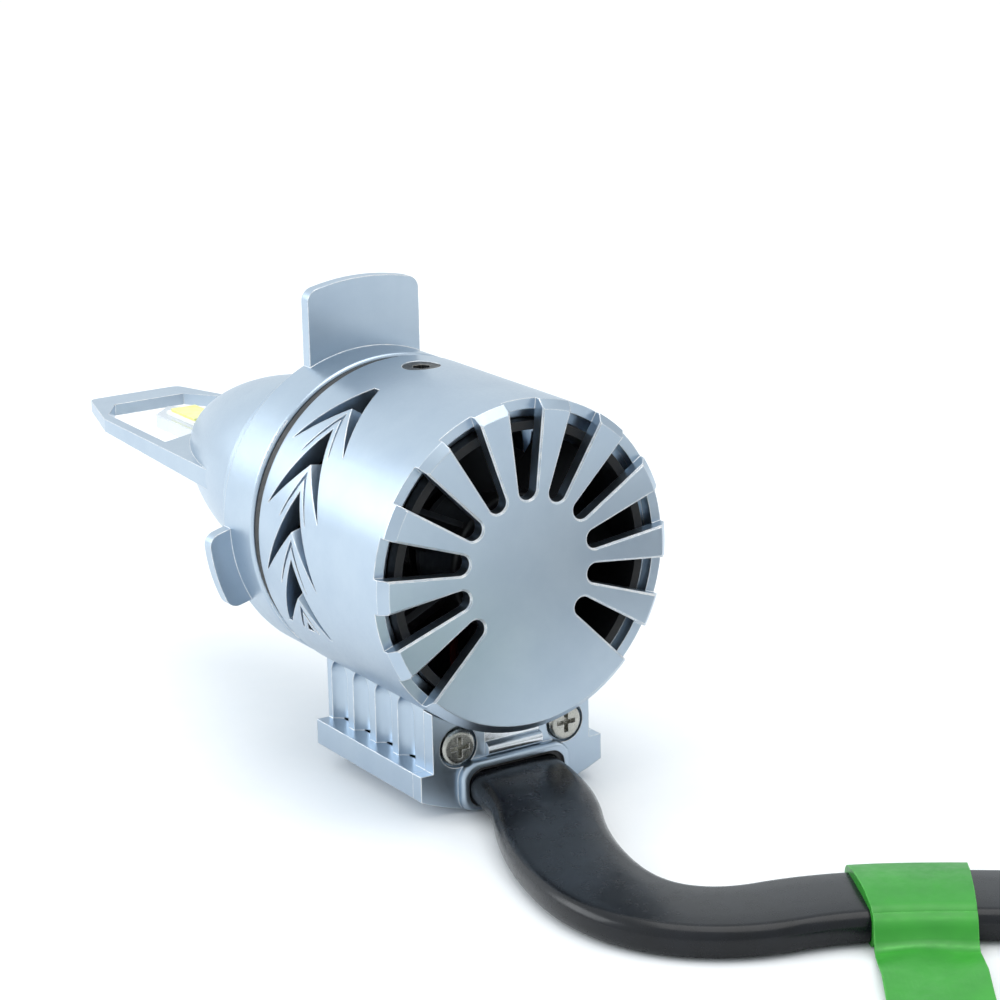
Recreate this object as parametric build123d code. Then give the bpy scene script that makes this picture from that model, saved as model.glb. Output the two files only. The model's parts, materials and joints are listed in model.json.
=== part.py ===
from build123d import *
import math
import os

# LED headlight bulb with rear fan.  Millimetres, +Z up, bulb axis along +Y (light end forward).
# Origin: on the bulb axis, in the seat face of the three collar tabs.

# ---------------------------------------------------------------- driving dimensions
body_r = 17.0                 # outside radius of the fan housing
body_len = 25.0               # fan housing, rear face to front rim
body_wall = 2.2               # housing wall
end_plate = 1.5               # slotted rear plate
rim_recess = 1.1              # wall left standing behind the rear slots
rim_recess_len = 1.4          # length of that thinned wall
slot_bevel = 0.15             # broken edge round each slot
rear_chamfer = 0.9
front_round = 0.5

slot_count = 11               # rear air slots that are cut
slot_places = 14              # equal places round the circle, the lowest three stay solid
slot_inner_r = 7.1            # radius reached by the inner end of a slot
slot_inner_w = 2.1
slot_outer_w = 4.3

grille_top = 22.0             # degrees below the top where the side grille begins
grille_bottom = 119.0         # degrees below the top where it ends
grille_pitch = 24.0           # degrees between chevrons
grille_count = 5
grille_mid = 17.9             # chevron point, from the rear face
grille_half_front = 5.4       # chevron half width towards the front
grille_half_rear = 4.7
grille_drop = 9.3             # arc from chevron point to leg ends
grille_thick = 3.7            # arc across an opening at its point
grille_bevel = 1.1            # bevel round each opening, at the outside
grille_bevel_depth = 1.3
rib_line_w = 0.45
rib_line_depth = 0.35

block_half_w = 9.4            # driver housing under the fan housing
ledge_half_w = 11.0
ledge_top = 20.7              # below the axis
ledge_bottom = 23.4
block_bottom_r = 25.8         # underside arc about the bulb axis
block_floor = 25.5            # flat that the bulb stands on, below the axis
block_rear = 3.9              # cover plate outer face, from the rear face
block_wall = 1.6
flute_count = 4
flute_pitch = 4.5
flute_first = 9.0             # from the rear face
flute_r = 1.75
flute_depth = 1.2

cover_t = 1.5
cover_gap = 0.1
cover_screw_x = 6.4
cover_screw_z = 18.4          # below the axis
screw_head_r = 1.95
screw_head_h = 1.1
screw_sink = 0.8
screw_r = 1.0
screw_len = 6.0

cable_w = 10.8                # flat two-core cable
cable_t = 3.4
cable_z = 22.9                # below the axis, at the exit
grommet_t = 0.35
lip_t = 0.8
lip_out = 0.9                 # lip stands proud of the cover
clip_half_w = 3.25
clip_bar_r = 0.75

seal_t = 1.4
seal_r = 16.6
collar_r = 16.9
collar_len = 6.1              # ring with its tabs, seal face to seat face
tab_t = 1.4
top_tab_r = 24.4
top_tab_w = 13.4
side_tab_r = 19.4
side_tab_w = 8.4
side_tab_turn = 105.0         # degrees from the top tab to each side tab
pilot_r = 14.4
pilot_len = 5.5
neck_r = 11.55
run_gap = 0.05                # running clearance of the turning collar
circlip_t = 1.0
circlip_r = 12.9
neck_front = 2.0

blade_len = 47.4              # flat light frame, neck face to front edge
blade_root_w = 10.7           # half width at the neck
blade_shoulder = 37.0         # where the sides turn in, from the neck face
blade_shoulder_w = 8.9
blade_tip_w = 5.9
blade_root_t = 1.25           # half thickness at the neck
blade_tip_t = 0.65
dome_gap = 0.4                # step between the neck rim and the domed root
dome_mid = 17.5               # middle point of the dome's outline, from the neck face
dome_mid_r = 7.5
dome_len = 26.2
dome_end_r = 2.6
window_back = 22.4            # opening in the frame, from the neck face
window_back_w = 8.2
window_notch = 24.6           # rear edge of the opening beside the light board
window_front = 38.8           # where the opening's sides turn in
window_front_w = 7.5
window_tip = 43.1
window_tip_w = 4.6
led_from_neck = 31.0
core_t = 1.6
core_half_w = 3.0
core_taper = 35.2             # light board starts to narrow, from the neck face
core_point = 38.1             # its point
lead_r = 0.45                 # insulated light leads
lead_hole_r = 0.55
lead_x = 2.0
lead_drop = core_t / 2 + lead_r
led_len = 6.0
led_w = 3.2

set_screw_r = 2.0
set_screw_from_front = 5.3
set_screw_key = 1.0

fan_r = 14.7
fan_len = 9.0
fan_wall = 0.9
fan_to_core = 2.0             # air gap where the light leads pass
hub_r = 7.2
blade_count = 7
rotor_gap = 0.35
rotor_start = 1.2             # rotor face behind the slotted plate
shaft_r = 0.75

plug_len = 24.0
plug_w = 15.0
plug_h = 12.0
plug_wall = 1.4
plug_mouth = 11.0
pin_len = 10.0
pin_pitch = 5.0
pin_w = 2.0
pin_t = 0.6

wrap_t = 0.5                  # green wrap on the cable
wrap_len = 11.0
wrap_along = 7.0              # past the third bend on the ground

# ---------------------------------------------------------------- derived stations along Y
seat = 0.0
rear = -(collar_len + seal_t + body_len)
front_rim = rear + body_len
seal_face = front_rim + seal_t
pilot_end = seat + pilot_len
neck_end = pilot_end + circlip_t + 2 * run_gap + neck_front
tip = neck_end + blade_len
bore_r = body_r - body_wall
floor_z = -block_floor
cover_back = rear + block_rear
cover_front = cover_back + cover_t


# ---------------------------------------------------------------- helpers
def rod(r, y0, y1, x=0.0, z=0.0):
    """Cylinder along Y between two stations."""
    bar = Cylinder(r, y1 - y0, align=(Align.CENTER, Align.CENTER, Align.MIN))
    return Pos(x, y0, z) * Rot(-90, 0, 0) * bar


def tube(r_out, r_in, y0, y1):
    """Ring along Y between two stations."""
    return rod(r_out, y0, y1) - rod(r_in, y0 - 1, y1 + 1)


def prism_y(face, y0, y1):
    """A face drawn in (x, z), extruded from y0 to y1."""
    return Pos(0, y1, 0) * Rot(90, 0, 0) * extrude(face, y1 - y0)


def brick(x0, x1, y0, y1, z0, z1):
    """Box by its limits."""
    box = Box(x1 - x0, y1 - y0, z1 - z0, align=(Align.MIN, Align.MIN, Align.MIN))
    return Pos(x0, y0, z0) * box


def sector(r_in, r_out, half_deg, mid_deg, y0, y1):
    """Ring sector about Y, centred on an angle measured from +X towards +Z."""
    far = 2 * r_out
    a0 = math.radians(mid_deg - half_deg)
    a1 = math.radians(mid_deg + half_deg)
    p0 = (far * math.cos(a0), far * math.sin(a0))
    p1 = (far * math.cos(a1), far * math.sin(a1))
    pm = (far * math.cos((a0 + a1) / 2), far * math.sin((a0 + a1) / 2))
    wedge = prism_y(make_face(Polyline((0, 0), p0, pm, p1, close=True)), y0, y1)
    return tube(r_out, r_in, y0, y1) & wedge


def flat_section(width, height, radius):
    """Rounded flat section."""
    return RectangleRounded(width, height, radius)


parts = {}


def keep(name, *shapes):
    """Store one or more solids as one named piece."""
    solids = []
    for shape in shapes:
        solids.extend(shape.solids())
    parts[name] = Compound(children=solids) if len(solids) > 1 else solids[0]


# ---------------------------------------------------------------- driver housing profile
def block_profile(inset=0.0):
    """Outline of the block in (x, z) below the axis."""
    half = block_half_w - inset
    wide = ledge_half_w - inset
    r = block_bottom_r - inset
    low = -(block_floor - inset)
    side_z = -(ledge_bottom - inset)
    arc_x = math.sqrt(max(r * r - low * low, 1.0))
    lower_x = min(wide, math.sqrt(r * r - side_z * side_z))
    mid_x = (arc_x + lower_x) / 2
    mid_z = -math.sqrt(r * r - mid_x * mid_x)
    top_z = 0.0
    outline = [
        Line((half, top_z), (half, -(ledge_top + inset))),
        Line((half, -(ledge_top + inset)), (lower_x, -(ledge_top + inset))),
        Line((lower_x, -(ledge_top + inset)), (lower_x, side_z)),
        ThreePointArc((lower_x, side_z), (mid_x, mid_z), (arc_x, low)),
        Line((arc_x, low), (-arc_x, low)),
        ThreePointArc((-arc_x, low), (-mid_x, mid_z), (-lower_x, side_z)),
        Line((-lower_x, side_z), (-lower_x, -(ledge_top + inset))),
        Line((-lower_x, -(ledge_top + inset)), (-half, -(ledge_top + inset))),
        Line((-half, -(ledge_top + inset)), (-half, top_z)),
        Line((-half, top_z), (half, top_z)),
    ]
    return make_face(Wire(outline))


block = prism_y(block_profile(), cover_front + cover_gap, front_rim)
barrel = rod(body_r, rear, front_rim)
barrel = chamfer(barrel.edges().group_by(Axis.Y)[0], rear_chamfer)
barrel = fillet(barrel.edges().group_by(Axis.Y)[-1], front_round)
shell = barrel + block

# side flutes of the block
for side in (-1, 1):
    for n in range(flute_count):
        y = rear + flute_first + n * flute_pitch
        x = side * (block_half_w + flute_r - flute_depth)
        top_z = -(block_half_w + 6.1)
        groove = Pos(x, y, -ledge_top) * Cylinder(
            flute_r, ledge_top + top_z, align=(Align.CENTER, Align.CENTER, Align.MIN)
        )
        shell = shell - groove - Pos(x, y, top_z) * Sphere(flute_r)

# bore, thinned rear wall
shell = shell - rod(bore_r, rear + end_plate, front_rim + 1)
shell = shell - rod(body_r - rim_recess, rear + end_plate, rear + end_plate + rim_recess_len)


# rear slots
def air_slot(angle):
    """One wedge slot with a round inner end, pointing outwards at an angle from +X."""
    r_in = slot_inner_w / 2
    out = body_r + 1.0
    x_in = slot_inner_r + r_in
    half_out = slot_outer_w / 2
    face = make_face(
        Polyline((x_in, -r_in), (out, -half_out), (out, half_out), (x_in, r_in), close=True)
    )
    face = face + Pos(x_in, 0) * Circle(r_in)
    wide_in = r_in + slot_bevel
    wide_out = half_out + slot_bevel
    mouth = make_face(
        Polyline((x_in, -wide_in), (out, -wide_out), (out, wide_out), (x_in, wide_in), close=True)
    )
    mouth = mouth + Pos(x_in, 0) * Circle(wide_in)
    through = prism_y(Rot(0, 0, angle) * face, rear - 1, rear + end_plate)
    return through + prism_y(Rot(0, 0, angle) * mouth, rear - 1, rear + slot_bevel)


for n in range(slot_count):
    angle = 90 + (n - (slot_count - 1) / 2) * 360 / slot_places
    shell = shell - air_slot(angle)


# side grille, one dart-shaped opening at a time
def arc_plane(deg_from_top, side):
    """Plane through the axis facing outwards: local x runs down the wall, local y forward."""
    a = math.radians(90 - side * deg_from_top)
    out = Vector(math.cos(a), 0, math.sin(a))
    down = Vector(side * math.sin(a), 0, -side * math.cos(a))
    return Plane(origin=(0, 0, 0), x_dir=down, z_dir=out)


def dart(start, grow, front):
    """Dart outline: point, one leg, notch, other leg, grown outwards by a margin."""
    return Polyline(
        (start - 1.6 * grow, 0),
        (start + grille_drop + grow, front * (grille_half_front + 0.4 * grow)),
        (start + grille_thick + 0.9 * grow, 0),
        (start + grille_drop + grow, -front * (grille_half_rear + 0.4 * grow)),
        close=True,
    )


window = sector(
    bore_r - 2, body_r + 1, (grille_bottom - grille_top) / 2,
    90 - (grille_bottom + grille_top) / 2, rear + 1, front_rim - 1,
)
arc_per_deg = math.radians(1) * body_r
for side in (-1, 1):
    y_mid = rear + grille_mid
    field = window if side > 0 else mirror(window, Plane.YZ)
    cuts = []
    for n in range(grille_count):
        tip_deg = grille_top - 3 + n * grille_pitch
        ref_deg = tip_deg + 0.5 * grille_drop / arc_per_deg
        shift = (ref_deg - tip_deg) * arc_per_deg
        frame = arc_plane(ref_deg, side)
        scale_y = frame.y_dir.Y
        throat = make_face(dart(-shift, 0.0, scale_y))
        mouth = make_face(dart(-shift, grille_bevel, scale_y))
        base = Pos(0, 0, body_r - grille_bevel_depth) * throat
        flare = loft([base, Pos(0, 0, body_r + 1.0) * mouth], ruled=True)
        cutter = extrude(throat, body_r + 2) - extrude(throat, bore_r - 1.5) + flare
        cuts.append(Pos(0, y_mid, 0) * frame.location * cutter)
        if n + 1 < grille_count:
            mid_rib = (grille_thick + grille_pitch * arc_per_deg) / 2 - shift
            leg = 0.72 * grille_drop
            half_f = 0.72 * grille_half_front
            half_r = 0.72 * grille_half_rear
            line = make_face(
                Polyline(
                    (mid_rib - rib_line_w, 0),
                    (mid_rib + leg, scale_y * half_f),
                    (mid_rib + rib_line_w, 0),
                    (mid_rib + leg, -scale_y * half_r),
                    close=True,
                )
            )
            depth = body_r - rib_line_depth
            groove = extrude(line, body_r + 2) - extrude(line, depth - 0.6)
            groove = Pos(0, y_mid, 0) * frame.location * groove
            cuts.append(groove - rod(depth, rear, front_rim))
    for cut in cuts:
        shell = shell - (cut & field)

# driver chamber in the block, with a wire passage up into the bore
chamber_low = -(block_floor - block_wall)
chamber_top = -(body_r - 0.6)
chamber_front = front_rim - block_wall
pillar_half = cover_screw_x - screw_r - 1.1
lower_roof = -(cover_screw_z + screw_r + 1.2)
chamber = brick(-pillar_half, pillar_half, cover_front, chamber_front, chamber_low, chamber_top)
chamber_half = block_half_w - 0.9
chamber = chamber + brick(
    -chamber_half, chamber_half, cover_front, chamber_front, chamber_low + 1.1, lower_roof
)
shell = shell - chamber
fan_back = rear + end_plate
fan_front = fan_back + fan_len
core_back = fan_front + fan_to_core
passage_y = (fan_front + core_back) / 2
shell = shell - Pos(0, passage_y, -(bore_r + 1)) * Box(5.6, 1.8, 6)
entry_half = cable_w / 2 + grommet_t
shell = shell - brick(
    -entry_half, entry_half, cover_front, cover_front + 3.2,
    -(cable_z + cable_t / 2 + grommet_t), lower_roof
)

# tapped holes for the cover screws and the hex set screw
for side in (-1, 1):
    shell = shell - rod(
        screw_r, cover_front, cover_front + screw_len, side * cover_screw_x, -cover_screw_z
    )
set_y = front_rim - set_screw_from_front
set_hole = Pos(0, set_y, 0) * Cylinder(
    set_screw_r, body_r + 2, align=(Align.CENTER, Align.CENTER, Align.MIN)
)
shell = shell - set_hole
keep("body_shell", shell)

# ---------------------------------------------------------------- rear cover, clip, screws
under_cut = body_r + 0.15
cover = prism_y(block_profile(), cover_back, cover_front + cover_gap)
cover = cover - rod(under_cut, rear - 1, front_rim)
slot_w = cable_w + 2 * grommet_t
slot_t = cable_t + 2 * grommet_t
lip_face = Pos(0, -cable_z) * RectangleRounded(slot_w + 2 * lip_t, slot_t + 2 * lip_t, 2.0)
lip = prism_y(lip_face, cover_back - lip_out, cover_back + 0.1)
lip = fillet(lip.edges().group_by(Axis.Y)[0], 0.5)
lip = lip & prism_y(block_profile(0.1), cover_back - 5, cover_front)
cover = cover + lip
slot_face = Pos(0, -cable_z) * RectangleRounded(slot_w, slot_t, 1.6)
cover = cover - prism_y(slot_face, cover_back - 3, cover_front + 1)
clip_low = -(cable_z - slot_t / 2 - lip_t)
clip_notch = brick(
    -clip_half_w, clip_half_w, cover_back - 1, cover_front + 1, clip_low, -body_r + 2
)
cover = cover - clip_notch
for side in (-1, 1):
    x = side * cover_screw_x
    cover = cover - rod(screw_r, cover_back - 1, cover_front + 1, x, -cover_screw_z)
    cover = cover - rod(
        screw_head_r + 0.25, cover_back - 1, cover_back + screw_sink, x, -cover_screw_z
    )
keep("rear_cover", cover)

clip_top = -(body_r + 0.15)
clip = brick(-clip_half_w, clip_half_w, cover_back, cover_front + cover_gap, clip_low, clip_top)
clip = clip - rod(under_cut, rear - 1, front_rim)
bar = Pos(0, cover_back, clip_low + clip_bar_r) * Rot(0, 90, 0) * Cylinder(clip_bar_r, 2 * clip_half_w)
clip = clip + bar
keep("cable_clip", clip)

screws = []
for side in (-1, 1):
    x = side * cover_screw_x
    seat_y = cover_back + screw_sink
    head = rod(screw_head_r, seat_y - screw_head_h, seat_y, x, -cover_screw_z)
    head = fillet(head.edges().group_by(Axis.Y)[0], 0.5)
    shank = rod(screw_r, seat_y, cover_front + screw_len - 0.5, x, -cover_screw_z)
    cross_a = brick(x - 0.25, x + 0.25, seat_y - 2, seat_y - 0.35, -cover_screw_z - 1.1,
                    -cover_screw_z + 1.1)
    cross_b = brick(x - 1.1, x + 1.1, seat_y - 2, seat_y - 0.35, -cover_screw_z - 0.25,
                    -cover_screw_z + 0.25)
    screws.append(head + shank - cross_a - cross_b)
keep("cover_screws", *screws)

grommet_face = Pos(0, -cable_z) * RectangleRounded(slot_w, slot_t, 1.6)
cable_face = Pos(0, -cable_z) * flat_section(cable_w, cable_t, cable_t / 2 - 0.05)
grommet = prism_y(grommet_face, cover_back - lip_out + 0.3, cover_front + 1.2)
grommet = grommet - prism_y(cable_face, cover_back - 5, cover_front + 5)
keep("cable_grommet", grommet)

# ---------------------------------------------------------------- hex set screw
set_top = body_r - 0.15
set_low = bore_r - 0.05
set_screw = Pos(0, set_y, set_low) * Cylinder(
    set_screw_r, set_top - set_low, align=(Align.CENTER, Align.CENTER, Align.MIN)
)
key_hole = Pos(0, set_y, set_top - 1.2) * extrude(RegularPolygon(set_screw_key, 6), 3)
keep("set_screw", set_screw - key_hole)

# ---------------------------------------------------------------- driver electronics
pcb_half_w = chamber_half - 0.4
pcb_low = chamber_low + 1.1
pcb_t = 1.0
pcb_rear = cover_front + 4.2
pcb_front = chamber_front
pcb = brick(-pcb_half_w, pcb_half_w, pcb_rear, pcb_front, pcb_low, pcb_low + pcb_t)
keep("driver_board", pcb)
comp_z = pcb_low + pcb_t
comp_y = pcb_rear + 3.2
coil_core = Pos(0, comp_y + 2.4, comp_z) * Cylinder(
    2.9, 3.6, align=(Align.CENTER, Align.CENTER, Align.MIN)
)
keep("inductor", coil_core)
caps = []
for side in (-1, 1):
    can = Pos(side * 1.6, pcb_rear + 11.2, comp_z) * Cylinder(
        1.45, 4.2, align=(Align.CENTER, Align.CENTER, Align.MIN)
    )
    caps.append(can)
keep("capacitors", *caps)
chips = []
roof_gap = lower_roof - comp_z
for side in (-1, 1):
    for n in range(2):
        y = comp_y + 1 + n * 5
        chips.append(
            brick(side * 6.2 - 1.3, side * 6.2 + 1.3, y, y + 3.2, comp_z, comp_z + 0.6 * roof_gap)
        )
keep("driver_chips", *chips)

# ---------------------------------------------------------------- fan
ring = tube(fan_r, fan_r - fan_wall, fan_back, fan_front)
base_t = 1.1
base = rod(hub_r - 0.4, fan_front - base_t, fan_front)
struts = []
for n in range(3):
    arm = brick(hub_r - 1.5, fan_r - fan_wall / 2, fan_front - base_t, fan_front, -0.7, 0.7)
    struts.append(Rot(0, 90 + 120 * n, 0) * arm)
tube_r = 2.3
bearing_r = 1.9
tube_back = fan_back + rotor_start + 1.5
bearing_tube = rod(tube_r, tube_back, fan_front - base_t)
frame = ring + base + struts[0] + struts[1] + struts[2] + bearing_tube
frame = frame - rod(bearing_r, tube_back - 1, fan_front - base_t)
keep("fan_frame", frame)

bearing_len = 1.6
bearing_a = tube(bearing_r, shaft_r + 0.02, tube_back, tube_back + bearing_len)
bearing_b = tube(
    bearing_r, shaft_r + 0.02, fan_front - base_t - bearing_len, fan_front - base_t
)
keep("fan_bearings", bearing_a, bearing_b)

rotor_back = fan_back + rotor_start
rotor_skirt = fan_front - base_t - rotor_gap
cup_wall = 0.8
cup = rod(hub_r, rotor_back, rotor_skirt) - rod(hub_r - cup_wall, rotor_back + 1.0, rotor_skirt + 1)
cup = fillet(cup.edges().group_by(Axis.Y)[0], 0.5)
vane_out = fan_r - fan_wall - rotor_gap
rotor = cup
for n in range(blade_count):
    vane_len = rotor_skirt - rotor_back - 0.6
    vane_w = vane_out - hub_r + 0.6
    vane = Box(vane_w, 0.7, vane_len * 1.05)
    vane = Rot(-90, 0, 0) * vane
    vane = Rot(38, 0, 0) * vane
    vane = Pos(hub_r - 0.5 + vane_w / 2, (rotor_back + rotor_skirt) / 2, 0) * vane
    vane = Rot(0, 360 * n / blade_count, 0) * vane
    rotor = rotor + vane
rotor = rotor & (
    tube(vane_out, hub_r - cup_wall, rotor_back, rotor_skirt)
    + rod(hub_r, rotor_back, rotor_back + 1.0)
)
keep("fan_rotor", rotor)
magnet_r = hub_r - cup_wall
keep("rotor_magnet", tube(magnet_r, magnet_r - 0.8, rotor_back + 1.3, rotor_skirt - 0.2))
keep("fan_shaft", rod(shaft_r, rotor_back + 1.0, fan_front - base_t - 0.3))

coil_r = magnet_r - 0.8 - 0.3
coil_back = tube_back + 0.8
coil_front = fan_front - base_t - 0.8
stator = tube(coil_r, tube_r, coil_back, coil_front)
for n in range(4):
    stator = stator - (
        Rot(0, 45 + 90 * n, 0) * brick(tube_r + 0.8, coil_r + 1, coil_back - 1, coil_front + 1, -0.6, 0.6)
    )
keep("fan_stator", stator)
keep("fan_board", tube(coil_r, tube_r, coil_front, fan_front - base_t))

# ---------------------------------------------------------------- heat core and neck
flange_back = rear + grille_mid + grille_half_front + 0.1
heat_r = 6.4
fin_r = 11.2
heat = rod(heat_r, core_back, flange_back) + rod(bore_r - 0.02, flange_back, front_rim)
fin_count = 12
for n in range(fin_count):
    fin = brick(heat_r - 0.6, fin_r, core_back + 0.4, flange_back + 0.2, -0.4, 0.4)
    heat = heat + Rot(0, 15 + 360 * n / fin_count, 0) * fin
pad_w = set_screw_r + 0.6
heat = heat + brick(-pad_w, pad_w, set_y - pad_w, flange_back + 0.2, heat_r - 1, set_low)
heat = heat & rod(bore_r - 0.02, core_back - 1, front_rim)
for side in (-1, 1):
    heat = heat - rod(lead_hole_r, core_back - 1, front_rim + 1, side * lead_x, -lead_drop)
spigot_r = 5.0
heat = heat - rod(spigot_r, front_rim - 4, front_rim + 1)
keep("heat_core", heat)

neck = rod(neck_r, front_rim, neck_end)
neck = chamfer(neck.edges().group_by(Axis.Y)[-1], 0.8)
neck = neck + rod(spigot_r, front_rim - 4, front_rim + 0.1)
groove_in = circlip_r - 2.1
clip_back = pilot_end + run_gap
circlip_groove = tube(neck_r + 1, groove_in, clip_back, clip_back + circlip_t)
neck = neck - circlip_groove
core_root = neck_end - 6.0
neck = neck - brick(-core_half_w, core_half_w, core_root, neck_end + 1, -core_t / 2, core_t / 2)
lead_end = neck_end - 3.0
for side in (-1, 1):
    neck = neck - rod(lead_hole_r, front_rim - 5, lead_end + 0.3, side * lead_x, -lead_drop)
keep("neck_hub", neck)
split = brick(-2.2, 2.2, clip_back - 1, clip_back + circlip_t + 1, -circlip_r - 1, -groove_in + 1.2)
keep("circlip", tube(circlip_r, groove_in, clip_back, clip_back + circlip_t) - split)

seal = tube(seal_r, neck_r, front_rim, seal_face)
seal = fillet(seal.edges().filter_by(GeomType.CIRCLE).group_by(SortBy.RADIUS)[-1], 0.3)
keep("seal_ring", seal)

# ---------------------------------------------------------------- collar with three tabs
collar = rod(collar_r, seal_face + run_gap, seat) + rod(pilot_r, seat, pilot_end)
collar = fillet(collar.edges().group_by(Axis.Y)[0], 0.4)
tab_back = seat - tab_t


def tab(width, radius, turn):
    """Rounded tab plate standing out of the ring, turned about the axis."""
    plate = brick(-width / 2, width / 2, tab_back, seat, collar_r - 2, radius + 2)
    plate = plate & rod(radius, tab_back, seat)
    corners = plate.edges().filter_by(Axis.Y).group_by(Axis.Z)[-1]
    plate = fillet(corners, 1.4)
    return Rot(0, turn, 0) * plate


collar = collar + tab(top_tab_w, top_tab_r, 0)
collar = collar + tab(side_tab_w, side_tab_r, side_tab_turn)
collar = collar + tab(side_tab_w, side_tab_r, -side_tab_turn)
collar = collar - rod(neck_r + run_gap, seal_face - 1, pilot_end + 1)
collar = chamfer(
    collar.edges().filter_by(GeomType.CIRCLE).group_by(Axis.Y)[-1].sort_by(SortBy.RADIUS)[-1], 0.5
)
keep("collar", collar)

# ---------------------------------------------------------------- flat light frame
def flat_plate(points, half):
    """Outline drawn in (x, distance from the neck face), as a plate centred on the axis."""
    return Pos(0, neck_end, 0) * extrude(make_face(Polyline(*points, close=True)), half, both=True)


outline = flat_plate(
    (
        (-blade_root_w, 0), (-blade_shoulder_w, blade_shoulder), (-blade_tip_w, blade_len),
        (blade_tip_w, blade_len), (blade_shoulder_w, blade_shoulder), (blade_root_w, 0),
    ),
    10,
)
outline = fillet(outline.edges().filter_by(Axis.Z).group_by(Axis.Y)[-1], 1.2)
side_profile = make_face(
    Polyline(
        (neck_end, -blade_root_t), (tip, -blade_tip_t), (tip, blade_tip_t),
        (neck_end, blade_root_t), close=True,
    )
)
wedge = Plane.YZ.location * extrude(side_profile, neck_r, both=True)
dome_r = neck_r - dome_gap
dome_face = make_face(
    Wire(
        [
            Line((0, 0), (dome_r, 0)),
            ThreePointArc((dome_r, 0), (dome_mid_r, dome_mid), (dome_end_r, dome_len)),
            Line((dome_end_r, dome_len), (0, dome_len)),
            Line((0, dome_len), (0, 0)),
        ]
    )
)
dome = Pos(0, neck_end, 0) * revolve(dome_face, Axis.Y)
blade = (outline & wedge) + dome

opening = flat_plate(
    (
        (-window_back_w, window_back), (-window_front_w, window_front), (-window_tip_w, window_tip),
        (window_tip_w, window_tip), (window_front_w, window_front), (window_back_w, window_back),
        (core_half_w, window_notch), (-core_half_w, window_notch),
    ),
    10,
)
opening = opening - rod(dome_end_r, neck_end, neck_end + dome_len)
tongue = flat_plate(
    (
        (-core_half_w, -6.0), (-core_half_w, core_taper), (0, core_point),
        (core_half_w, core_taper), (core_half_w, -6.0),
    ),
    core_t / 2,
)
led_mid = neck_end + led_from_neck
keep("blade_frame", blade - opening - tongue)
keep("core_board", tongue)

pads = []
leds = []
for side in (-1, 1):
    z0 = side * core_t / 2
    z1 = z0 + side * 0.4
    z2 = z1 + side * 0.35
    pads.append(
        brick(-led_w / 2 - 0.35, led_w / 2 + 0.35, led_mid - led_len / 2 - 0.6,
              led_mid + led_len / 2 + 0.6, min(z0, z1), max(z0, z1))
    )
    leds.append(
        brick(-led_w / 2, led_w / 2, led_mid - led_len / 2, led_mid + led_len / 2,
              min(z1, z2), max(z1, z2))
    )
keep("led_substrates", *pads)
keep("led_chips", *leds)

leads = []
for side in (-1, 1):
    lead_points = (
        (side * lead_x, passage_y, comp_z),
        (side * lead_x, passage_y, -lead_drop),
        (side * lead_x, lead_end, -lead_drop),
    )
    lead_path = FilletPolyline(*lead_points, radius=0.9)
    lead_start = Plane(origin=lead_points[0], x_dir=(1, 0, 0), z_dir=(0, 0, 1))
    leads.append(sweep(lead_start * Circle(lead_r), path=lead_path))
keep("light_leads", *leads)

# ---------------------------------------------------------------- flat cable
# Straight runs of the centre line: (x, y, z).  It drops from the exit to the ground.
lie_z = floor_z + cable_t / 2
cable_start = cover_front + 2.4
cable_points = (
    (0.0, cable_start, -cable_z),
    (0.0, cover_back - 5.4, -cable_z),
    (-6.5, rear - 13.5, lie_z),
    (-9.5, rear - 28.0, lie_z),
    (-4.0, rear - 36.5, lie_z),
    (7.5, rear - 39.0, lie_z),
    (19.5, rear - 47.0, lie_z),
    (28.5, rear - 55.0, lie_z),
    (35.5, rear - 57.5, lie_z),
    (42.0, rear - 57.5, lie_z),
)


def bend_radii(points):
    """Radius at each inner point: 0.45 of the shorter run over the tangent of half the turn."""
    radii = []
    for a, b, c in zip(points, points[1:], points[2:]):
        u = Vector(*b) - Vector(*a)
        v = Vector(*c) - Vector(*b)
        turn = math.radians(u.get_angle(v))
        radii.append(0.45 * min(u.length, v.length) / math.tan(turn / 2))
    return radii


cable_radii = bend_radii(cable_points)
print("cable bend radii", [round(r, 1) for r in cable_radii])
cable_path = FilletPolyline(*cable_points, radius=cable_radii)
print("cable length", round(cable_path.length, 1))
start_plane = Plane(origin=cable_points[0], x_dir=(1, 0, 0), z_dir=(0, -1, 0))
cable_section = start_plane * flat_section(cable_w, cable_t, cable_t / 2 - 0.05)
cable = sweep(cable_section, path=cable_path)
print("cable volume ratio", round(cable.volume / (cable_section.area * cable_path.length), 4))
keep("cable", cable)

# green wrap round the cable just past the third bend on the ground
wrap_section = start_plane * RectangleRounded(
    cable_w + 2 * wrap_t, cable_t + wrap_t, cable_t / 2 - 0.05
)
wrap_section = Pos(0, 0, wrap_t / 2) * wrap_section
wrap_from = Vector(*cable_points[5])
wrap_to = Vector(*cable_points[6])
wrap_dir = (wrap_to - wrap_from).normalized()
wrap_mid = wrap_from + wrap_dir * wrap_along
wrap_turn = math.degrees(math.atan2(wrap_dir.Y, wrap_dir.X))
wrap_zone = Pos(wrap_mid.X, wrap_mid.Y, wrap_mid.Z) * Rot(0, 0, wrap_turn) * Box(wrap_len, 24, 10)
wrap = (sweep(wrap_section, path=cable_path) - cable) & wrap_zone
keep("cable_wrap", wrap)

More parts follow.
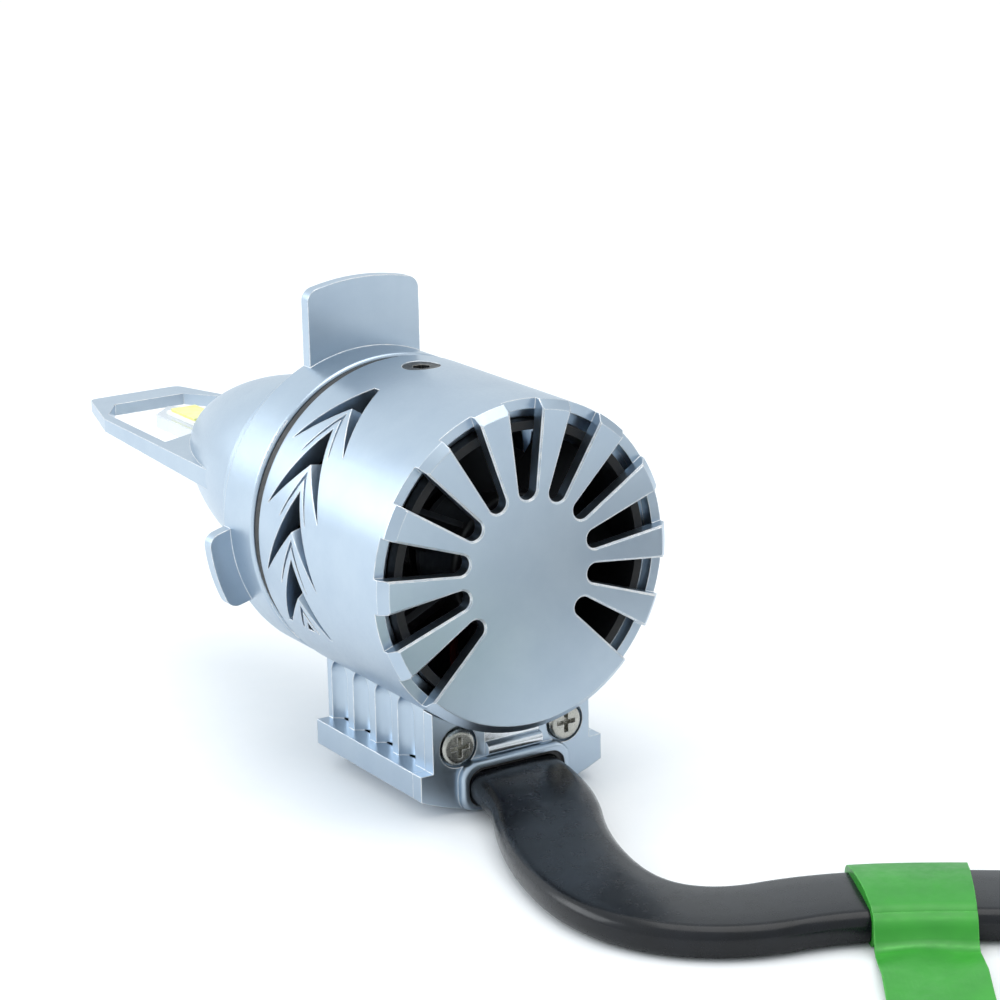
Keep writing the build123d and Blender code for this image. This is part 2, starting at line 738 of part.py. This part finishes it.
# ---------------------------------------------------------------- plug on the far end
end = Vector(*cable_points[-1])
end_dir = (end - Vector(*cable_points[-2])).normalized()
end_turn = math.degrees(math.atan2(end_dir.Y, end_dir.X))
plug_place = Pos(end.X, end.Y, end.Z) * Rot(0, 0, end_turn)
plug_low = -cable_t / 2
body_mid = plug_low + plug_h / 2
plug = Pos(plug_len / 2, 0, body_mid) * Box(plug_len, plug_w, plug_h)
plug = fillet(plug.edges().filter_by(Axis.X), 1.2)
socket = Pos(plug_len - plug_mouth / 2, 0, body_mid) * Box(
    plug_mouth, plug_w - 2 * plug_wall, plug_h - 2 * plug_wall
)
plug = plug - socket
pins = []
for side in (-1, 1):
    y = side * pin_pitch / 2
    pin_from = plug_len - plug_mouth - 2.0
    pin = Pos(pin_from, y, body_mid) * Box(
        pin_len, pin_w, pin_t, align=(Align.MIN, Align.CENTER, Align.CENTER)
    )
    plug = plug - pin
    pins.append(plug_place * pin)
for n in range(3):
    rib = Pos(2.5 + 2.2 * n, 0, plug_low + plug_h) * Box(1.0, plug_w - 4, 0.8)
    plug = plug + rib
keep("plug_housing", plug_place * plug)
keep("plug_pins", *pins)
latch = Pos(plug_len - 9.0, 0, plug_low + plug_h) * Box(
    9.0, 4.0, 1.4, align=(Align.CENTER, Align.CENTER, Align.MIN)
)
keep("plug_latch", plug_place * latch)

for name, shape in parts.items():
    print(name, round(shape.volume, 2), len(shape.solids()))

os.makedirs("parts", exist_ok=True)
for name, shape in parts.items():
    export_step(shape, f"parts/{name}.step")
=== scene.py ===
import json
import math

import bmesh
import bpy
from mathutils import Matrix, Vector


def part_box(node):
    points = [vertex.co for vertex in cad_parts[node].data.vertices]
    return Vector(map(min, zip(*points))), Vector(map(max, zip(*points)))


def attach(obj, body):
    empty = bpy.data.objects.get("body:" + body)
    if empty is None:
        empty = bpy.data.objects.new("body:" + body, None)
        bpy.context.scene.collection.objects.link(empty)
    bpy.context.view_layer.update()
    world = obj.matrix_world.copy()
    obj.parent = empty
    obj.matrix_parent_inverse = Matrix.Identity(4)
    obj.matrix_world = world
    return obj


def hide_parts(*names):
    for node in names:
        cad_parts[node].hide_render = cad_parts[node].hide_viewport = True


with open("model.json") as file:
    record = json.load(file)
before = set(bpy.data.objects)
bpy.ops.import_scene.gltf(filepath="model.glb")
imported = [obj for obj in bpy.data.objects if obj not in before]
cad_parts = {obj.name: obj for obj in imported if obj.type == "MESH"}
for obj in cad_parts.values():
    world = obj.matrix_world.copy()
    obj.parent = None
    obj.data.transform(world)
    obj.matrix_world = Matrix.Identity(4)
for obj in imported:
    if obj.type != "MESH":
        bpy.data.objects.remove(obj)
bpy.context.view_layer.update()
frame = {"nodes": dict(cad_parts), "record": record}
nodes = frame["nodes"]
scene = bpy.context.scene
MM = 0.001


# ---------------------------------------------------------------- camera, floor, light
def add(obj):
    scene.collection.objects.link(obj)
    return obj


camera = add(bpy.data.objects.new("camera", bpy.data.cameras.new("camera")))
camera.data.sensor_width = 36.0
camera.data.lens = 107.32
camera.data.clip_start = 0.01
camera.data.clip_end = 50.0
look = Matrix((
    (0.84126, 0.16441, -0.51502),
    (-0.54023, 0.21933, -0.81243),
    (-0.02061, 0.96170, 0.27334),
))
camera.matrix_world = Matrix.Translation((-0.152634, -0.268056, 0.086947)) @ look.to_4x4()
scene.camera = camera
scene.view_settings.view_transform = "Standard"
scene.view_settings.exposure = 0.0

floor_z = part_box("body_shell")[0].z


def area_light(name, place, target, size, power, colour):
    light = bpy.data.lights.new(name, "AREA")
    light.shape = "RECTANGLE"
    light.size, light.size_y = size
    light.energy = power
    light.color = colour
    obj = add(bpy.data.objects.new(name, light))
    obj.location = place
    aim = Vector(target) - Vector(place)
    obj.rotation_euler = aim.to_track_quat("-Z", "Y").to_euler()
    return obj


area_light("window_left", (-0.75, 0.55, 0.42), (0, 0, 0), (0.7, 0.5), 4.0, (0.93, 0.97, 1.0))
area_light("overhead", (0.1, -0.1, 0.95), (0, 0, 0), (0.9, 0.9), 5.0, (1.0, 0.99, 0.97))
area_light("fill_right", (0.7, -0.5, 0.35), (0, 0, 0), (0.5, 0.4), 0.6, (1.0, 0.97, 0.93))


# ---------------------------------------------------------------- node helpers
class Shader:
    """One node material; node() adds a node, join() links sockets."""

    def __init__(self, name):
        self.material = bpy.data.materials.new(name)
        self.material.use_nodes = True
        self.tree = self.material.node_tree
        self.tree.nodes.clear()
        self.out = self.node("ShaderNodeOutputMaterial")
        self.bsdf = self.node("ShaderNodeBsdfPrincipled")
        self.join(self.bsdf, "BSDF", self.out, "Surface")
        self.place = self.node("ShaderNodeTexCoord")

    def node(self, kind, **values):
        made = self.tree.nodes.new(kind)
        for key, value in values.items():
            setattr(made, key, value)
        return made

    def join(self, a, a_socket, b, b_socket):
        self.tree.links.new(a.outputs[a_socket], b.inputs[b_socket])

    def noise(self, scale, detail=2.0, rough=0.5, stretch=(1, 1, 1)):
        shift = self.node("ShaderNodeMapping")
        shift.inputs["Scale"].default_value = stretch
        self.join(self.place, "Object", shift, "Vector")
        made = self.node("ShaderNodeTexNoise")
        made.inputs["Scale"].default_value = scale
        made.inputs["Detail"].default_value = detail
        made.inputs["Roughness"].default_value = rough
        self.join(shift, "Vector", made, "Vector")
        return made

    def remap(self, source, socket, low, high, to_low, to_high):
        made = self.node("ShaderNodeMapRange", clamp=True)
        made.inputs["From Min"].default_value = low
        made.inputs["From Max"].default_value = high
        made.inputs["To Min"].default_value = to_low
        made.inputs["To Max"].default_value = to_high
        self.join(source, socket, made, "Value")
        return made

    def mix(self, factor, socket, a, b):
        made = self.node("ShaderNodeMix", data_type="RGBA")
        self.join(factor, socket, made, "Factor")
        for slot, value in (("A", a), ("B", b)):
            target = [i for i in made.inputs if i.name == slot and i.type == "RGBA"][0]
            if isinstance(value, tuple) and len(value) == 2:
                self.tree.links.new(value[0].outputs[value[1]], target)
            else:
                target.default_value = (*value, 1.0)
        return made

    @staticmethod
    def colour_out(mix):
        return [o for o in mix.outputs if o.type == "RGBA"][0]

    def edge_mask(self, radius, low=0.995, high=0.93):
        """Rounded normal at edges, and a mask that is 1 on them."""
        soft = self.node("ShaderNodeBevel", samples=6)
        soft.inputs["Radius"].default_value = radius
        real = self.node("ShaderNodeNewGeometry")
        dot = self.node("ShaderNodeVectorMath", operation="DOT_PRODUCT")
        self.join(soft, "Normal", dot, 0)
        self.join(real, "True Normal", dot, 1)
        return soft, self.remap(dot, "Value", low, high, 0.0, 1.0)


def finish_material(
    name, base, tint, metallic, rough, grain, bump, blotch=120.0, edge=None,
    edge_radius=0.00012, coat=0.0, spec=0.5, stretch=(1, 1, 1), edge_low=0.995,
):
    """Base and tint mixed by a broad noise, fine grain in bump and roughness, brighter edges that are
    partly real wear and partly painted highlight.
    """
    s = Shader(name)
    b = s.bsdf
    b.inputs["Metallic"].default_value = metallic
    b.inputs["Specular IOR Level"].default_value = spec
    b.inputs["Coat Weight"].default_value = coat
    b.inputs["Coat Roughness"].default_value = 0.12
    broad = s.noise(blotch, 4.0, 0.6)
    ramp = s.remap(broad, "Fac", 0.32, 0.68, 0.0, 1.0)
    colour = s.mix(ramp, "Result", base, tint)
    fine = s.noise(grain, 3.0, 0.6, stretch)
    speck = s.noise(grain * 0.45, 1.0, 0.4, stretch)
    lift = s.node("ShaderNodeMath", operation="ADD")
    s.join(fine, "Fac", lift, 0)
    s.join(speck, "Fac", lift, 1)
    level = s.remap(lift, "Value", 0.7, 1.3, rough[0], rough[1])
    s.tree.links.new(level.outputs["Result"], b.inputs["Roughness"])
    relief = s.node("ShaderNodeBump")
    relief.inputs["Strength"].default_value = bump
    relief.inputs["Distance"].default_value = 0.00002
    s.join(lift, "Value", relief, "Height")
    last = s.colour_out(colour)
    # Edge colour, brighter than the base: partly real wear and partly painted highlight standing in
    # for lit edges, broken up by a noise.
    if edge is not None:
        soft, mask = s.edge_mask(edge_radius, edge_low)
        s.join(soft, "Normal", relief, "Normal")
        edge_breakup_noise = s.noise(900.0, 3.0, 0.7)
        broken_wear_and_highlight = s.node("ShaderNodeMath", operation="MULTIPLY")
        s.join(mask, "Result", broken_wear_and_highlight, 0)
        s.tree.links.new(
            s.remap(edge_breakup_noise, "Fac", 0.35, 0.6, 0.35, 1.0).outputs["Result"], broken_wear_and_highlight.inputs[1]
        )
        wear_and_highlight_mix = s.node("ShaderNodeMix", data_type="RGBA")
        s.tree.links.new(broken_wear_and_highlight.outputs["Value"], wear_and_highlight_mix.inputs["Factor"])
        sides = [i for i in wear_and_highlight_mix.inputs if i.type == "RGBA"]
        s.tree.links.new(last, sides[0])
        sides[1].default_value = (*edge, 1.0)
        last = s.colour_out(wear_and_highlight_mix)
    s.tree.links.new(last, b.inputs["Base Color"])
    s.join(relief, "Normal", b, "Normal")
    return s.material


# Each edge colour below paints brighter edges: partly wear, partly painted highlight.
satin = finish_material(
    "satin_aluminium", (0.40, 0.48, 0.57), (0.45, 0.53, 0.61), 1.0, (0.29, 0.36), 5600.0, 0.07,
    edge=(0.90, 0.88, 0.85), edge_radius=0.00016, edge_low=0.975,
)
bright = finish_material(
    "bright_metal", (0.66, 0.70, 0.75), (0.74, 0.77, 0.80), 1.0, (0.16, 0.26), 4200.0, 0.12,
    edge=(0.95, 0.95, 0.95),
)
nickel = finish_material(
    "nickel", (0.36, 0.36, 0.33), (0.47, 0.46, 0.42), 1.0, (0.20, 0.34), 3800.0, 0.18,
    edge=(0.8, 0.78, 0.74), blotch=500.0,
)
black_steel = finish_material(
    "black_steel", (0.03, 0.032, 0.035), (0.06, 0.06, 0.06), 0.8, (0.3, 0.5), 3500.0, 0.25,
    edge=(0.35, 0.33, 0.30), blotch=700.0,
)
black_aluminium = finish_material(
    "black_aluminium", (0.008, 0.008, 0.009), (0.016, 0.016, 0.018), 0.2, (0.45, 0.65), 4200.0, 0.25,
    edge=(0.05, 0.05, 0.05), spec=0.3,
)
copper = finish_material(
    "copper_winding", (0.42, 0.13, 0.05), (0.55, 0.22, 0.09), 1.0, (0.2, 0.4), 2600.0, 0.6,
    stretch=(1, 12, 1),
)
brass = finish_material(
    "brass_contact", (0.70, 0.50, 0.20), (0.80, 0.62, 0.30), 1.0, (0.16, 0.3), 3600.0, 0.12,
    edge=(0.95, 0.85, 0.6),
)
ferrite = finish_material(
    "ferrite", (0.035, 0.036, 0.04), (0.06, 0.06, 0.06), 0.0, (0.45, 0.7), 3000.0, 0.3,
    edge=(0.12, 0.12, 0.12),
)
board = finish_material(
    "board_green", (0.012, 0.10, 0.05), (0.02, 0.15, 0.07), 0.0, (0.25, 0.4), 2600.0, 0.15,
    edge=(0.25, 0.3, 0.15), blotch=900.0, coat=0.4,
)
plastic = finish_material(
    "black_plastic", (0.005, 0.005, 0.006), (0.010, 0.010, 0.011), 0.0, (0.34, 0.5), 3400.0, 0.35,
    edge=(0.035, 0.035, 0.036), spec=0.3,
)
ceramic = finish_material(
    "white_ceramic", (0.82, 0.83, 0.80), (0.9, 0.9, 0.88), 0.0, (0.35, 0.5), 3600.0, 0.15,
    edge=(0.7, 0.7, 0.66),
)
phosphor = finish_material(
    "phosphor", (0.78, 0.80, 0.16), (0.88, 0.90, 0.30), 0.0, (0.3, 0.45), 3600.0, 0.4,
    edge=(0.9, 0.9, 0.55), blotch=900.0, coat=0.3,
)
lead_red = finish_material(
    "lead_red", (0.10, 0.004, 0.004), (0.14, 0.008, 0.006), 0.0, (0.3, 0.45), 2600.0, 0.15,
)
rubber = finish_material(
    "black_rubber", (0.014, 0.014, 0.015), (0.028, 0.027, 0.026), 0.0, (0.45, 0.65), 3000.0, 0.35,
    edge=(0.07, 0.07, 0.07),
)
sheath = finish_material(
    "black_cable", (0.002, 0.0025, 0.0035), (0.005, 0.006, 0.009), 0.0, (0.20, 0.30), 1500.0, 0.06,
    coat=0.06, blotch=260.0, spec=0.30,
)
green = finish_material(
    "green_wrap", (0.010, 0.20, 0.010), (0.030, 0.33, 0.020), 0.0, (0.34, 0.48), 1700.0, 0.16,
    edge=(0.08, 0.46, 0.06), blotch=70.0, edge_radius=0.0002,
)
MATERIALS = {
    "satin_aluminium": satin, "bright_metal": bright, "nickel": nickel,
    "black_steel": black_steel, "black_aluminium": black_aluminium, "copper": copper,
    "brass": brass, "ferrite": ferrite, "board_green": board, "black_plastic": plastic,
    "white_ceramic": ceramic, "phosphor": phosphor, "lead_red": lead_red,
    "black_rubber": rubber, "black_cable": sheath, "green_wrap": green,
}


def paint(obj, material):
    obj.data.materials.clear()
    obj.data.materials.append(material)


for part in frame["record"]["subparts"]:
    paint(nodes[part["node"]], MATERIALS[part["material_slot"]])


# ---------------------------------------------------------------- floor and surroundings
def build_floor():
    mesh = bpy.data.meshes.new("floor")
    bm = bmesh.new()
    bmesh.ops.create_circle(bm, cap_ends=True, segments=96, radius=9.0)
    bm.to_mesh(mesh)
    bm.free()
    obj = add(bpy.data.objects.new("floor", mesh))
    obj.location.z = floor_z
    paint(obj, finish_material(
        "floor_paper", (0.86, 0.87, 0.88), (0.88, 0.885, 0.89), 0.0, (0.55, 0.7), 900.0, 0.03,
    ))


build_floor()

world = bpy.data.worlds.new("studio")
scene.world = world
world.use_nodes = True
wt = world.node_tree
wt.nodes.clear()
w_out = wt.nodes.new("ShaderNodeOutputWorld")
w_back = wt.nodes.new("ShaderNodeBackground")
w_place = wt.nodes.new("ShaderNodeTexCoord")
w_dot = wt.nodes.new("ShaderNodeVectorMath")
w_dot.operation = "DOT_PRODUCT"
w_dot.inputs[1].default_value = Vector((-0.62, 0.70, 0.35)).normalized()
w_range = wt.nodes.new("ShaderNodeMapRange")
w_range.inputs["From Min"].default_value = -0.4
w_range.inputs["From Max"].default_value = 0.9
w_range.inputs["To Min"].default_value = 0.80
w_range.inputs["To Max"].default_value = 1.25
w_back.inputs["Color"].default_value = (0.90, 0.96, 1.0, 1.0)
wt.links.new(w_place.outputs["Generated"], w_dot.inputs[0])
wt.links.new(w_dot.outputs["Value"], w_range.inputs["Value"])
wt.links.new(w_range.outputs["Result"], w_back.inputs["Strength"])
wt.links.new(w_back.outputs["Background"], w_out.inputs["Surface"])


# ---------------------------------------------------------------- flat cable
CABLE_W = 0.0108
CABLE_T = 0.0034
cable_route = (
    (0.0, -0.0247, -0.0229),
    (0.0, -0.0340, -0.0229),
    (-0.0065, -0.0460, -0.0238),
    (-0.0095, -0.0605, -0.0238),
    (-0.0040, -0.0690, -0.0238),
    (0.0075, -0.0715, -0.0238),
    (0.0195, -0.0795, -0.0238),
    (0.0285, -0.0875, -0.0238),
    (0.0355, -0.0900, -0.0238),
    (0.0420, -0.0900, -0.0238),
)


def spline_points(points):
    """Points read from a NURBS spline with these control points."""
    curve = bpy.data.curves.new("route", "CURVE")
    curve.dimensions = "3D"
    curve.resolution_u = 24
    line = curve.splines.new("NURBS")
    line.points.add(len(points) - 1)
    for p, co in zip(line.points, points):
        p.co = (*co, 1.0)
    line.order_u = 3
    line.use_endpoint_u = True
    obj = add(bpy.data.objects.new("route", curve))
    mesh = bpy.data.meshes.new_from_object(obj)
    found = [v.co.copy() for v in mesh.vertices]
    bpy.data.objects.remove(obj)
    bpy.data.meshes.remove(mesh)
    return found


def frames_along(line):
    """For each point: place, tangent, level side direction, up direction."""
    made = []
    for n, p in enumerate(line):
        a = line[max(n - 1, 0)]
        b = line[min(n + 1, len(line) - 1)]
        t = (b - a).normalized()
        side = t.cross(Vector((0, 0, 1))).normalized()
        made.append((p, t, side, side.cross(t).normalized()))
    return made


def flat_ring(width, thick, corner, crown, steps=6):
    """Section of the flat sheath: rounded corners, faces slightly crowned, as (side, up)."""
    ring = []
    for cx, cz, start in (
        (1, 1, 0), (-1, 1, 90), (-1, -1, 180), (1, -1, 270),
    ):
        for k in range(steps + 1):
            a = math.radians(start + 90 * k / steps)
            ring.append((
                cx * (width / 2 - corner) + corner * math.cos(a),
                cz * (thick / 2 - corner) + corner * math.sin(a),
            ))
        if start in (0, 180):
            edge_x = ring[-1][0]
            for k in (1, 2, 3):
                x = edge_x * (1 - k / 2)
                bulge = crown * (1 - (2 * x / width) ** 2)
                ring.append((x, cz * (thick / 2 + bulge)))
    return ring


def loft(name, rings, closed_ends=True):
    """Mesh through equal rings of points."""
    mesh = bpy.data.meshes.new(name)
    bm = bmesh.new()
    loops = [[bm.verts.new(p) for p in ring] for ring in rings]
    count = len(rings[0])
    for a, b in zip(loops, loops[1:]):
        for k in range(count):
            m = (k + 1) % count
            bm.faces.new((a[k], a[m], b[m], b[k]))
    if closed_ends:
        bm.faces.new(list(reversed(loops[0])))
        bm.faces.new(loops[-1])
    bmesh.ops.recalc_face_normals(bm, faces=bm.faces)
    bm.to_mesh(mesh)
    bm.free()
    mesh.shade_smooth()
    mesh.set_sharp_from_angle(angle=math.radians(40))
    return add(bpy.data.objects.new(name, mesh))


cable_line = spline_points(cable_route)
cable_frames = frames_along(cable_line)
section = flat_ring(CABLE_W, CABLE_T - 0.0002, 0.00135, 0.0001)
rings = [
    [p + side * x + up * z for x, z in section] for p, t, side, up in cable_frames
]
cable = loft("cable_sheath", rings)
paint(cable, sheath)
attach(cable, "bulb")
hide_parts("cable")

# ---------------------------------------------------------------- green wrap
wrap_low, wrap_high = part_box("cable_wrap")
wrap_mid = (wrap_low + wrap_high) / 2
nearest = min(range(len(cable_line)), key=lambda n: (cable_line[n] - wrap_mid).length)
arc = [0.0]
for a, b in zip(cable_line, cable_line[1:]):
    arc.append(arc[-1] + (b - a).length)
WRAP_HALF = 0.0056
band = [n for n in range(len(arc)) if abs(arc[n] - arc[nearest]) <= WRAP_HALF]
wrap_ring = flat_ring(CABLE_W + 0.0010, CABLE_T + 0.0008, 0.0017, 0.0004)
rings = []
for n in band:
    p, t, side, up = cable_frames[n]
    rings.append([p + side * x + up * (z + 0.00015) for x, z in wrap_ring])
wrap = loft("green_wrap", rings)


def wrap_tail(frames, along, reach, thick=0.00026):
    """Loose end of the wrap: leaves the near edge of the cable, drops to the floor and lies there."""
    profile = (
        (0.0, 0.00125), (0.0006, 0.0009), (0.0011, 0.0002), (0.0015, -0.0006),
        (0.0021, -0.0012), (0.0030, -0.00138), (0.0050, -0.0012), (0.0080, -0.00095),
        (0.0110, -0.0011), (reach, -0.0013),
    )
    rows = []
    for w, z in profile:
        row = []
        for n, (p, t, side, up) in enumerate(frames):
            u = n / (len(frames) - 1) - 0.5
            near = side if side.y < 0 else -side
            start = p + near * (CABLE_W / 2 + 0.0001)
            ripple = 0.00018 * math.sin(7 * u + 600 * w) * min(1.0, w / 0.004)
            row.append(start + along * w + Vector((0, 0, z + 0.00015 + ripple + 0.0002)))
        rows.append(row)
    mesh = bpy.data.meshes.new("green_tail")
    bm = bmesh.new()
    grid = [[bm.verts.new(p) for p in row] for row in rows]
    for a, b in zip(grid, grid[1:]):
        for k in range(len(a) - 1):
            bm.faces.new((a[k], a[k + 1], b[k + 1], b[k]))
    bmesh.ops.recalc_face_normals(bm, faces=bm.faces)
    bmesh.ops.solidify(bm, geom=bm.faces[:], thickness=thick)
    bmesh.ops.recalc_face_normals(bm, faces=bm.faces)
    bm.to_mesh(mesh)
    bm.free()
    mesh.shade_smooth()
    mesh.set_sharp_from_angle(angle=math.radians(50))
    return add(bpy.data.objects.new("green_tail", mesh))


tail = wrap_tail([cable_frames[n] for n in band], Vector((-0.56, -0.83, 0.0)), 0.0135)
paint(tail, green)
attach(tail, "bulb")
paint(wrap, green)
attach(wrap, "bulb")
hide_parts("cable_wrap")
